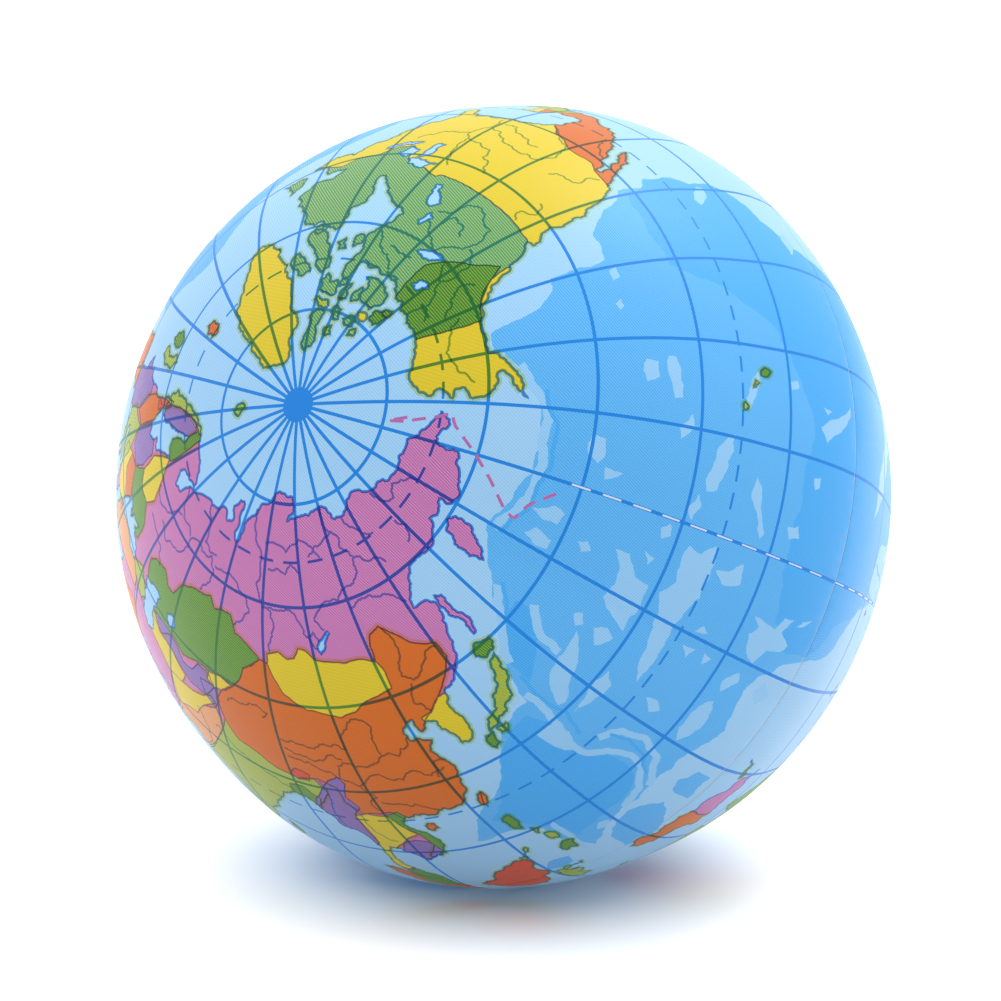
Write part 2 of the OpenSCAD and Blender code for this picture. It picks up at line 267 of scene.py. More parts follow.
# Countries, laid over the land in this order. Their outlines may run out to sea.
COUNTRIES = painted("""
green 48 53.4, 50 54.8, 54.5 55.6, 57.5 53.8, 60 53.8, 62.5 56.8, 66 58, 71 58.6, 74 59.2, 76 57.6,
79 58.2, 82 58.2, 83.6 55.6, 87.5 54.6, 91 52.8, 88 51.2, 85.4 50.2, 84.4 48.4, 81.5 46.2, 78 46.8,
74.5 46.2, 71 46.4, 66 45, 62 46.4, 58 44, 53 45, 50 48;
yellow 30 66.4, 34 64, 38 60, 36 57.6, 31 57, 27 58.4, 25.4 62, 27.6 64.6;
green 27 58.4, 31 57, 36 57.6, 40 55, 40 51, 37 50.4, 32 52, 28 53, 24 55;
orange 24 55, 28 53, 30 51.8, 28 49, 22 50.6, 20 53.6;
yellow 20 53.6, 22 50.6, 28 49, 29 45, 22 45.6, 19 47.4, 16 51;
purple 14 61.4, 20 62, 24.6 61.4, 25.6 58, 24 55, 18 54.4, 14 56.4;
orange 6 62, 10 63.6, 14.4 61.4, 14 56.4, 9 54.6, 6 57.4;
purple -5.6 55.6, 2 58.6, 6 58.6, 9 54.6, 8 49.6, 2 47.6, -2.6 48.8;
orange -10 49.6, -1 49, 3.6 47.4, -2 40, -11 41;
lime 8 53, 14 56.2, 19 51, 20 44.4, 8 47;
red 7 64.2, 9.2 67, 11 66.6, 11 62.4, 7 62;
purple 10 66, 12 69, 16 71.6, 21 73.4, 25.6 73.2, 26 71, 23 69.8, 19.6 68, 16.4 65.6, 12 64;
lime 4 67, 6.4 70.4, 12 72.6, 19 75, 28 75.6, 27.6 73.8, 21 73.4, 16 71.8, 12 69.2, 10 66.2, 8 64.6,
4 64.6;
green 30.4 74.4, 31.6 71, 31 66.4, 26 66, 23 67.4, 25 69.6, 27.6 70.8, 26 71.6, 25.8 73.6;
peach 26 46, 30 48, 36 48.6, 42 47.2, 45 45, 44.4 42.6, 38 42, 30 40.4, 25.4 42;
lime 42 47.4, 46 49.6, 50.6 46, 48 43.6, 45 44.4;
purple 54 46, 57.6 46.6, 61 46.4, 64 45.4, 66 43.6, 69 43.8, 71 46, 74.6 45.6, 76 43.8, 73 40.8,
68 40.6, 62 43.2, 57 43.6;
yellow 52 46, 54 46.4, 57 43.6, 62 43.2, 66.4 40.8, 65 38.4, 61 37.8, 55 40.6, 51 41.4;
pink 44.4 45.6, 48 43.8, 51 41.4, 55 40.6, 61 37.8, 62.4 30, 60 26, 52 28, 47.6 33, 45 39;
yellow 61 37.8, 65 38.4, 70 39.4, 74.4 41.4, 75.6 40.4, 71.4 37.6, 68.6 34, 61.8 31;
peach 61.8 31, 68.6 34, 71.4 37.6, 75.4 39.4, 76.6 36.4, 73 31, 70 26.6, 67 23, 60 25;
yellow 74.6 46.4, 78 46.8, 81.6 46, 79.4 44.6, 76 43.8, 74 44.6;
purple 71.6 43.6, 76 43.8, 77 41.6, 75.4 39.4, 73 40.8;
orange 45 39, 47.6 33, 49 28, 57 24, 61 22, 52 14, 42 12, 36 28, 36 36, 41 37.6;
yellow 93.2 52.4, 93.6 54, 97 54.6, 99.4 53.6, 101.4 53.8, 103.2 55.3, 105.2 55, 107 53.6, 111 53,
115 52.4, 118 52.5, 122 51.4, 122.8 49.6, 122.2 47, 119 46.6, 115.4 46.2, 112 44.9, 108.4 44.3, 105 45,
101 45.6, 98.6 46.6, 96 48, 94.6 50;
orange 91 52.8, 93.2 52.4, 94.6 50, 96 48, 98.6 46.6, 101 45.6, 105 45, 108.4 44.3, 112 44.9,
115.4 46.2, 119 46.6, 122.2 47, 122.8 49.6, 122 51.4, 122.6 53.6, 124 55.2, 127 55.8, 129.4 54,
131.4 52, 133.6 50.8, 136.4 49.8, 136.4 47.4, 134 45.6, 131.4 44, 129.4 43, 126 41.4, 124.2 40.6,
124 37, 126 30, 122 22, 109 22.6, 107 25.6, 104.6 25.2, 101.4 25.2, 99.4 27.6, 99.6 31, 96.4 32.4,
92 31.6, 88 32.4, 84 34.4, 80 35.2, 77.6 38.4, 76.4 41.8, 78.4 44.4, 81.8 46.2, 84.4 48.4, 85.4 50.2,
88 51.4;
lime 77.6 38.4, 80 35.2, 84 34.4, 88 32.4, 92 31.6, 95.6 32.2, 97 29.4, 94.4 26.6, 92 24.6, 88 24,
82 14, 74 6, 66 22, 72.6 30.6, 76.4 36;
red 90.6 32.4, 92.4 33.8, 95 33, 94.4 31.6, 92 31.4;
green 89 29.4, 92 29.8, 94.4 27.6, 93 24, 88.4 25.4;
purple 93.4 27.4, 96 30, 98.6 32.4, 101 33.4, 101.8 32, 100.2 29, 101.6 26.6, 99.6 24.6, 99.4 22,
99.6 17, 97.6 14, 95 18, 92.6 24.4;
yellow 99.6 24.4, 102 25.2, 105.6 24.6, 106.6 22, 108 19.6, 105.6 18.6, 103 16.6, 101 15, 100.6 8, 98 9,
98.4 14, 99.6 18;
green 105.6 25, 108 25.6, 110 23, 112 17, 108.6 12, 106.4 13.4, 109 16.4, 108.4 19.4, 106.4 22.4;
purple 102.6 14.4, 104 17.2, 106.6 18, 108.6 17.4, 109.4 14.6, 107 12.4, 104 12.4;
green 99 7.6, 101 9, 105 4, 105.4 0.6, 100 1.4;
yellow 124 41.2, 126.4 41.4, 129.4 43, 131.6 43, 132 34, 126 33.4;
fresh_green 236 49.2, 243 49, 250 49, 257 49, 264.8 49, 265.6 49.6, 270 48.4, 272.6 48.2, 276 46.6,
277.6 43, 281 43.4, 284 45.4, 289 46, 292 47.6, 297 46, 303 44, 312 52, 300 66, 290 72, 268 74, 240 72,
219 70.6, 218.6 66, 218.4 62, 218.8 60.2, 222.6 59.8, 226.6 58.6, 229.6 56.6, 231 54, 230.4 51.6,
234 49.6;
green 226 58.6, 229.6 56.6, 232 54.6, 235.4 57.6, 240 60, 244 63, 243 66.4, 238 72, 219 70.6, 218.6 66,
218.4 62, 218.8 60.2, 222.6 59.8;
orange 242.4 32.4, 247 31.8, 249 30.8, 252 31.2, 254 31.2, 257 29.6, 259.6 28.8, 262.6 26, 266 24,
269.6 22.4, 271 17.8, 268 17.4, 267 14, 250 14, 240 30;
lime 268 17.4, 271 17.8, 276 16.6, 277.6 12, 280 9.4, 281 6, 274 7, 266 13;
green -18 27, -8.6 27.6, 2 36, 10 38, 12 34, 9.4 30, 10 24, 5 19, -5 25, -8 22, -18 21;
pink 9.4 30, 12 34, 25 36, 25 20, 20 20, 14 23, 10 24;
orange 25 36, 34 36, 37 22, 25 22;
purple 22 20, 25 22, 37 22, 39 15, 34 10, 27 9, 22 13;
green -18 21, -8 22, -5 25, 2 19, 4 13, -4 10, -18 12;
red 2 6, 3 13, 14 13, 10 3;
green 12 -5, 18 4, 27 5, 30 0, 29 -8, 24 -12, 21 -7, 12 -7;
pink 34 10, 39 15, 44 11, 52 13, 48 3, 42 2, 34 5;
yellow 29 -1, 34 -1, 40 -5, 41 -11, 30 -9;
orange 11 -18, 24 -18, 24 -12, 21 -7, 12 -7;
purple 15 -28, 20 -28, 27 -26, 31 -22, 34 -26, 32 -31, 18 -36;
lime 20 -28, 20 -20, 26 -18, 31 -22, 27 -26;
pink 24 -12, 30 -9, 41 -11, 41 -16, 31 -22, 26 -18, 24 -18;
yellow 280 8, 285 12, 287 11, 288 7, 293 4, 290 0, 290 -4, 286 -3, 282 1;
orange 287 11, 289 13, 300 10, 299 7, 293 4, 288 7;
peach 278 -3, 286 -3, 290 -4, 291 -10, 290 -18, 286 -18, 278 -8;
yellow 290 -18, 291 -10, 297 -13, 302 -17, 302 -22, 297 -22, 293 -23;
pink 292 -23, 302 -27, 303 -34, 306 -39, 290 -56, 291 -40;
purple 284 -18, 290 -18, 292 -23, 290 -34, 291 -40, 291 -56, 282 -54;
lime 129 -10, 138 -10, 138 -26, 129 -26;
purple 112 -20, 129 -10, 129 -36, 112 -38;
green 138 -10, 146 -9, 156 -29, 141 -29, 141 -26, 138 -26;
orange 141 -29, 156 -28, 152 -38, 141 -34
""")

# Inland waters.
LAKES = outlines("""
48.6 49.6, 52 50.4, 56 50.2, 55 47.6, 53.6 45, 54.4 41.6, 52 40.4, 49.8 43.4, 49 46.6;
59 49.2, 61.6 50, 62.4 48.2, 60.4 47.4;
109 55, 111 56.4, 113.4 57.4, 113.6 57, 111.4 55.4, 109.4 54.2;
235.6 64.8, 238.4 66.4, 241.4 66.2, 240 64.8, 237.6 64.4;
241 60.4, 243.6 61.6, 247.6 62.4, 250.6 62.2, 247 61, 244 60.4;
255.6 56.8, 257 58.6, 258.6 58, 257.4 56;
257.6 53.8, 259.6 55.2, 262 53.6, 263.4 51, 262 50.8, 260 52.6;
268 46.8, 271 48.6, 275 47.8, 275.6 46.6, 271.6 46.6;
271.4 41.8, 272.2 45, 274.4 46, 273.6 43.4, 272.8 41.6;
275.6 44, 277 46.2, 279.8 45.4, 278 43.4;
276.6 41.6, 281 42.8, 283.8 43.8, 279 42;
31.6 2, 34 0.6, 33.6 -2, 31.8 -1.4
""")

# Rivers.
RIVERS = outlines("""
60 74.6, 62 70.4, 65.6 68.6, 66 66, 70 65.2, 73 65.6;
62.6 65.2, 66 64.4, 71 65, 73.4 62.6, 71.6 60.6, 69.4 58.8;
73.4 64, 79 64, 84 63, 87.6 61.6, 88.6 59.6, 86 58, 83 56.8;
90 74.6, 89.6 71.6, 92.4 69.4, 93 66, 91.6 64, 93.4 61, 96.4 60.6, 97 58.4, 95.4 56.4, 94.6 54.4;
93.4 61, 99 60.8, 104.6 60.4, 106 58.6, 107.4 56.6, 109 55;
96.4 66.6, 100 66.8, 103.6 66, 106.4 67.4, 109 66;
95 70.2, 99.6 70.4, 102.4 70, 105 69, 107.6 70;
127 73.6, 127.6 70, 128.6 67.4, 131 65.6, 129.6 63.6, 125.6 62.4, 120 61.2, 114 61, 110.6 59.2,
112.6 57.6;
131 65.6, 134 64.4, 137.4 64, 139.4 62.6;
108 70, 112 70.6, 116 69.4, 119 67.4;
114.4 68, 118.4 69.2, 123 69.6, 127.8 70.2;
151 71, 152.6 68.8, 156 68, 159.6 69.4, 163 68.6, 166 66.4;
150.4 66, 152 64.4, 150 63, 148.4 62.6;
134.4 71, 136.4 69.2, 138.4 67.6, 142 66.8;
122.6 59.6, 127 60.2, 131 59.4, 134.6 58.6, 137 56.6;
109.4 54.2, 110.6 55.6, 109 57.6, 106.6 57;
45 60.6, 50 59.2, 55 60.4, 58.6 61.6, 59.4 64, 63 65;
40 58.6, 46 58, 50 57, 52 54.6;
36 63, 40 61.6, 44 62.4, 48 64.4, 51 65.4;
46 70, 49 67.4, 52.4 65.4, 56.4 65.6, 58.6 64.4;
79.4 42.8, 84 43.8, 88 44.6, 90.4 43.8, 88.6 42.6;
91.6 39.4, 95.6 39.2, 99 38.6, 102.6 39.4, 106 38.8, 107 41.6, 109 43.4, 111.6 43.6, 113.6 42.2,
112.4 39.4, 112.6 37, 115.6 36.4, 118.4 37.8, 119.8 39.4;
92 36.4, 96.4 35.8, 100 34.4, 102.6 32.6, 104.4 31.6, 106.6 32.8, 110 33.4, 113.4 32, 116 33.4,
118.6 31.6, 121.6 32.4;
101 33, 102.4 35.6, 105.4 36, 108.6 35.4, 112.6 37;
92 37.8, 94.6 37, 98 36.2, 101 37.4, 104 36.8;
104.6 31.4, 106.4 29, 104.4 27.4, 105.6 25.6;
106.6 28, 110 27.2, 114 25.6, 115.4 24.6;
119.6 31, 121 34, 122.6 33.6;
127.4 55.4, 128.4 52.6, 126.6 50, 125.6 48, 127.4 46.8, 131 48.2, 133.4 49.6, 136 49.4;
126.6 41.6, 124.6 44, 126.4 46.6;
99.6 27.6, 100.8 25, 100.6 22, 101.4 19.4, 103.4 17.6;
96.4 32, 96.8 28, 95.6 24, 95.8 21;
74 35, 77 33.4, 80 32, 83.6 30.6, 87 28.6, 89.4 27.6;
69 36, 71 31.6, 69.4 27, 67.6 25.4;
240.6 56.8, 238 57.4, 235.6 58.6, 235 60.4, 236 62.6;
247.6 62, 244.4 58.6, 241.6 57.6, 241 55, 242.4 52.6, 245.6 52.4, 249 51, 252.4 52, 253.4 54.6,
256.4 55.2;
247.4 60.6, 250.4 59.4, 253.6 58.6, 256 57.4;
245.4 56.6, 247.6 55, 251 54.6, 252.4 56.8;
231 69.4, 230.4 66.8, 232.6 64.6, 235.6 63, 240.6 61;
222.4 64.6, 226 63.4, 229 62.4, 231.6 60.6, 229.6 59;
225 67.6, 228.6 66.6, 232 66.8;
200.6 62.2, 205 64.6, 211 65.8, 216 65, 221.6 63;
259 63.6, 254 64, 249.6 63.6;
252 66.8, 256 65.6, 262 64.4, 266 62;
243.4 43.8, 241 45.4, 243.6 47, 242 48.6;
244.4 32.6, 245.4 34.6, 245 36.2, 247.6 37, 249.6 38.6;
257.6 45.4, 259.4 43.4, 261.8 42.4, 262.6 40.2, 266 39.2, 269.4 38.6, 270.4 36.4, 269 33, 269.8 30;
266 46.6, 268.4 43.6, 269.4 41, 269.4 38.6;
254 37.4, 259.6 37.8, 264 36, 268.6 34;
253.8 37, 253.8 33, 257.6 30, 259.8 28.4, 262.4 26.4;
257.4 34.6, 261.6 33.8, 265.6 31.4, 268 31.4;
279.4 40.4, 276.4 38.4, 272.4 37.4, 270.4 36.4;
249 28, 252.6 26.4, 255 22.6;
31 34, 31.4 28, 33 22, 33.6 16, 32.4 10, 31.6 3;
-11 11, -5 15, 0 16.4, 4 12, 6.6 5;
27 -6, 26 0, 20 1.4, 16.4 -4, 12.6 -6;
288 -4, 295 -3.6, 302 -2.6, 308 -1, 310 0;
301 -13, 299 -20, 302 -27, 300 -33, 301.6 -34.4;
142 -28, 145 -30, 143 -34, 139.4 -35.4
""")

# The sea, in the order that it is laid down over the pale shelf.
SEAS = painted("""
open_sea 150 47, 155 50.6, 160 53.6, 165 55.5, 170 54.5, 180 52.5, 190 52.8, 196 53.5, 205 56.5,
208.5 58, 209 59.5, 214 59.5, 216.5 56, 218.5 52, 222 49.5, 225 49, 225.5 43, 226.5 40.5, 232 40.3,
235 38.3, 237.3 36.2, 238.8 33, 241 31.4, 240.5 27, 243 25.5, 243 20, 241 17, 240.3 11.5, 236 9,
233 7.5, 231 4.5, 228.5 3.5, 228 0, 226 -10, 225 -30, 240 -45, 200 -60, 170 -56, 172 -30, 182 -22,
178 -12, 170 -6, 168 0, 166.6 4, 164.6 5.4, 163.6 7.4, 161 8.4, 157.6 7.6, 154.6 6.6, 150 8.8, 146 9.2,
142 9.6, 137 9.4, 133 8, 129 5, 127.4 8, 126 14, 121.6 16, 116 15.8, 118 18.5, 119 20.5, 121.5 22.5,
125.5 24.5, 128 26.5, 130 29.5, 132.5 32, 135.5 34, 141.3 35, 142.3 38.5, 143.8 41.5, 146.5 44;
open_sea 131 0, 131.6 5, 134.6 7.6, 138.6 7.4, 141 4.6, 138.6 1.4, 136 -1;
open_sea 143 1.4, 143.2 5.6, 145 6.6, 147.6 4.6, 147.4 1.4;
open_sea 119.6 3, 121.6 5.4, 124.6 5, 124 3, 121.6 2;
open_sea 60 -6, 72 2, 84 0, 96 -6, 104 -14, 108 -26, 100 -45, 70 -55, 50 -42, 62 -24;
open_sea -30 54, -14 48, -20 30, -30 18, -26 4, -12 -6, -4 -22, 4 -36, -10 -52, -40 -46, -34 -26,
-28 -8, -44 8, -64 22, -70 32, -52 42;
deep 224 31, 230 31.6, 237 31.4, 240 30.4, 240.4 28, 242.6 25.6, 242.8 21.4, 241.4 18, 241.6 14,
239.4 10.6, 234 8, 230 5, 228.6 0, 226 -10, 225 -30, 214 -40, 196 -34, 186 -18, 174 -4, 168.6 0,
168 4.6, 171.6 9.6, 178 11.6, 186 12, 196 10.4, 206 12, 214 15.6, 220 23;
deep 126 24, 129 28, 132.6 31.4, 135.6 33, 139.4 33.4, 141 30.4, 138.6 29.6, 139.4 25, 142 21, 143 17,
142.4 13.6, 138.6 11, 133.6 10.4, 129 9, 128 13, 124 17.6, 121 19.4;
deep 144.4 40.6, 147.6 43.6, 151 46, 154.6 46.4, 155 43, 151 40.6, 147 38.4, 144.4 37
""")
# Pale shoals within the open sea.
SEAS += [(INKS["shoal"], outline) for outline in outlines("""
144.3 31.5, 145.5 34, 148 36, 153 36.6, 156.5 37, 153 34.5, 149 33, 145.5 31;
138 30, 141.5 29.5, 142 27, 140.5 24, 139 25;
156 33.6, 158.4 35.2, 159.6 33.6, 158.6 32;
157 37.6, 158.8 38.8, 159.6 37.8, 158 36.8;
160.4 31.4, 161.6 34, 163.6 36.6, 166.6 36, 169.6 36.6, 172 38.2, 172.2 36, 169 33.8, 168.8 31.6, 165 31;
171.6 33, 173.6 34.2, 173 32.4;
176.4 32.6, 178 33.2, 179.2 32, 177.4 31.4;
166 48.4, 167.4 50.6, 169.4 49.4, 168.4 46.8, 166.4 46.8;
171.4 49, 172.8 51, 175 48.2, 174.2 46.6, 171.6 47;
168.8 42.4, 170.4 43.4, 171.2 42.2, 169.8 41.2;
145 29, 149 29.8, 153.8 29.5, 152 27.6, 148.5 28.2;
154.4 25, 158 26.8, 162 27.6, 165.6 28.2, 168.6 29.6, 171 28, 174.6 28.6, 177 28.2, 176.4 26, 178.6 24,
174 23.4, 166.6 24.6, 160 24.8;
180.8 29.2, 182.6 30.2, 185.2 29, 183.4 28.2;
185.8 28, 188.6 28.2, 192.6 27.4, 195.6 24.6, 193 24.6, 189.6 25.4, 186.4 26.4;
181.6 17.4, 184 18.4, 187.6 20.6, 190.4 20, 188.6 18.8, 185 18, 182.4 16.8;
173.4 21, 175 22.8, 175.6 20.6, 177.4 18.6, 174.4 18;
165.6 21.6, 166.8 20.6, 166 19.4;
151.6 20, 153.4 22, 153.8 20, 152.6 18.6;
161.4 20.6, 163 22.2, 163.2 19.8;
161.6 17.6, 163.4 18.2, 163 16.6;
150 12.8, 152 14, 156 13.6, 157.8 12, 155 10.8, 151.6 11.4;
159.4 12, 161 12.8, 163 10.8, 161.6 10.2;
165 9.8, 166 11.8, 168.6 13, 170 11.8, 171.2 13.4, 170.6 9, 172.6 8, 172.8 6, 170.6 7.4, 169.2 5, 168 6,
167.4 8.6;
172 5.4, 173.8 2.2, 172.6 3.4;
183 12.2, 184.6 13, 185.2 11, 183.6 10.4;
190.8 9.2, 192.4 9.6, 192.8 8.2, 191.4 8.2;
198 7.2, 200 8.6, 202 4.8, 204.6 1.2, 203 1.4, 200 4.4;
202 7, 203 8, 202.8 6;
193 33.2, 195 33.4, 197.4 31.6, 195.4 31.2;
199.6 34.4, 203 35, 207 35, 206.8 33.8, 202 33, 199.8 33.2;
202 38.4, 204 39, 206.2 38.4, 205.8 36.6, 203 36.6;
185.4 44.4, 187 46, 190.6 45.8, 190.2 43.8, 187 43.6;
182.8 43, 185.2 43.2, 184.8 40.6;
199.4 22.2, 201.6 22.8, 205 21.4, 206.8 19.6, 204.4 20, 201.6 21.4;
204.4 14.2, 205.6 14.4, 206 12.8, 204.8 12.8;
215.6 41, 217 41.4, 218 40.4, 216.4 40.2;
221.8 40.6, 224 40.6, 224.6 39.4, 222.4 39.4;
236.4 18.6, 237.6 19.2, 240.6 16.6, 240.4 15.4, 238 16.4;
228 5.2, 231 5.6, 233 4, 230 3;
159.8 5, 161.6 6.6, 163.4 5.6, 161.6 3;
131.4 8, 132.6 9.4, 134 8.6, 132.6 7.6;
190 -8, 196 -10, 204 -16, 212 -20, 204 -20, 196 -14;
182 -14, 188 -16, 190 -24, 184 -30, 180 -22;
60 -8, 66 -12, 68 -20, 62 -24, 58 -16;
76 -4, 82 -6, 88 -16, 90 -28, 84 -26, 80 -14;
-16 -8, -10 -16, -14 -30, -18 -40, -22 -26, -20 -12;
-40 40, -32 44, -28 38, -36 32, -44 34
""")]

# Pale ridges and dark trenches, as strokes.
RIDGES = outlines("""
165 54.4, 172 52.6, 182 51.6, 192 52, 198 53.6, 205 56;
144.5 41, 147 44, 150 46.4, 155 49.6;
142 36, 141.8 30.5, 140.6 26, 140.8 22.4, 143.2 20, 144.6 16.4, 143.8 13.4, 141 10.6, 137 9.4;
144 23, 147 21, 148 17, 146.5 13, 142 9.8;
127.6 14, 128 10, 127.8 5;
156 44, 152 40.6, 151.6 37
""")
TRENCHES = outlines("""
165 53.4, 172 51.4, 182 50.4, 192 50.8, 199 52.6;
146.6 42.4, 151.6 46.4, 156 49.4;
144 38.6, 143.4 34, 144.2 29.6, 142.6 25.6;
145.4 22, 146.4 19, 145.6 15, 143.4 12;
284 -6, 286.4 -14, 287.4 -24, 284.6 -34;
185.4 -16, 184 -22, 180.6 -30, 177.4 -36
""")

# The date line, where it leaves the meridian of 180 degrees.
[DATE_LINE] = outlines("""
186.8 71, 183.6 73.6, 184.8 71.4, 188.6 67, 190.6 65, 187 64.4, 180 60.6, 175 57.6, 170 54.4,
168.8 52.6, 173 51.6, 176 49.6, 180 46.4
""")

# ------------------------------------------------------------------------ drawing on the flat

# A point on the flat drawing of a hemisphere is a complex number, in degrees from its pole.
# A region is a list of closed loops of such points, and holds whatever the loops go round.
NORTH, SOUTH = 1, -1
RIM = 90 - math.degrees(SEAM_GAP / 2 / (RADIUS + SWELL))
BEYOND_RIM = 110

# How far lines wander from the straight, as a share of their length, and their shortest step.
COAST_WANDER = 0.20
BORDER_WANDER = 0.05
RIVER_WANDER = 0.2
SEA_WANDER = 0.1
STEP = {NORTH: 0.5, SOUTH: 1.0}

# Widths in degrees.
COAST_WIDTH = 0.42
BORDER_WIDTH = 0.26
RIVER_WIDTH = 0.32
GRID_WIDTH = 0.48
RIDGE_WIDTH = 1.3
TRENCH_WIDTH = 0.6
DATE_LINE_WIDTH = 0.45
DATE_DASH_WIDTH = 0.30
POLE_DISC = 2.7
GRID_STEP = 15
FRINGE_WIDTH = 0.55

# The tropic and the polar circle, with the number of their dashes.
DASHED_CIRCLES = ((23.5, 84), (66.5, 33))
# The period of a dashed line in degrees, and the share of it that is dash.
DATE_DASHES = (4.5, 0.6)
BEND_DASHES = (3.1, 0.62)
CIRCLE_DASH = 0.6

COAST_INK = (0.55, 0.25, 0)
BORDER_INK = (0.45, 0.45, 0.10)
RIVER_INK = (0.45, 0.15, 0)
GRID_INK = (0.70, 0.18, 0)
DATE_LINE_INK = (0.25, 0.70, 0)
DATE_DASH_INK = (0.12, 0.04, 0)
# Land with more yellow than this lets some of it stray over its coast and its borders.
MUCH_YELLOW = 0.5
FRINGE_YELLOW = 0.40
# How strongly the line screens show at sea, where they show fully on land.
SEA_SCREEN = 0.35

# How the printed grid came to lie on the ball: as a whole it is a little off its place and a
# little stretched and sheared, and in the north its middle is pulled in further.
SHIFT = -0.7 - 1.0j
STRETCH = 1.011 - 0.010j
SHEAR = -0.013 - 0.004j
MIDDLE_SHIFT = -1.8 + 1.1j
MIDDLE_STRETCH = -0.110 + 0.009j
MIDDLE_REACH = 33


def flat(places, side):
    """Longitudes and latitudes as points on the flat drawing of the north or the south."""
    lon, lat = np.array(places).T
    from_pole = np.minimum(90 - side * lat, BEYOND_RIM)
    return from_pole * np.exp(1j * np.radians(lon))


def laid(line, side):
    """Where a line of the printed grid ends up on the ball."""
    whole = SHIFT + STRETCH * line + SHEAR * line.conj()
    if side == SOUTH:
        return whole
    middle = np.exp(-abs(line) ** 2 / (2 * MIDDLE_REACH**2))
    return whole + middle * (MIDDLE_SHIFT + MIDDLE_STRETCH * line)


def crinkle(a, b, wander, step):
    """Points from a towards b, b left out, along a wandering line that is the same both ways."""
    if abs(b - a) <= step:
        return [a]
    low, high = sorted((a, b), key=lambda point: (point.real, point.imag))
    aside = random.Random(f"{low:.4f} {high:.4f}").uniform(-wander, wander)
    middle = (a + b) / 2 + 1j * aside * (high - low)
    return crinkle(a, middle, wander, step) + crinkle(middle, b, wander, step)


def drawn_loop(places, side, wander):
    """A closed outline on the flat drawing, with its inside on its left."""
    corners = flat(places, side)
    loop = []
    for a, b in zip(corners, np.roll(corners, -1)):
        loop += crinkle(a, b, wander, STEP[side])
    loop = np.array(loop)
    area = (loop.conj() * np.roll(loop, -1)).imag.sum()
    return loop if area > 0 else loop[::-1]


def drawn_line(places, side, wander):
    """An open line on the flat drawing."""
    corners = flat(places, side)
    line = []
    for a, b in zip(corners, corners[1:]):
        line += crinkle(a, b, wander, STEP[side])
    return np.array(line + [corners[-1]])


def on_this_side(places, side):
    """Whether any of these places is on this side of the equator."""
    return any(side * lat > -1 for _, lat in places)


def beside(line, distance, closed):
    """The line moved sideways, to its right."""
    along = np.roll(line, -1) - np.roll(line, 1) if closed else np.gradient(line)
    return line - 1j * distance * along / abs(along)


def stroke(line, width, closed=False):
    """The region that a pen of this width covers along the line."""
    right = beside(line, width / 2, closed)
    left = beside(line, -width / 2, closed)[::-1]
    return [right, left] if closed else [np.concatenate([right, left])]


def strokes(lines, width, closed=False):
    """The region that a pen of this width covers along all the lines."""
    return [loop for line in lines for loop in stroke(line, width, closed)]


def circle(from_pole, parts=360):
    """A circle about the pole, this many degrees from it."""
    return from_pole * np.exp(2j * math.pi * np.arange(parts) / parts)


def dashed(line, period, share):
    """The dashes along a line, each of them this share of the period."""
    along = np.concatenate([[0], np.cumsum(abs(np.diff(line)))])
    dash = np.linspace(0, share * period, 4)
    starts = np.arange(0, along[-1] - dash[-1], period)
    return [np.interp(start + dash, along, line) for start in starts]


def covered(spots, region):
    """Which of the spots the region holds. The spots are in order of their height."""
    turns = np.zeros(len(spots), int)
    heights = spots.imag.copy()
    for loop in region:
        for a, b in zip(loop, np.roll(loop, -1)):
            first, last = np.searchsorted(heights, sorted((a.imag, b.imag)))
            if first == last:
                continue
            leftward = ((b - a).conjugate() * (spots[first:last] - a)).imag > 0
            turns[first:last] += leftward if b.imag > a.imag else leftward.astype(int) - 1
    return turns != 0


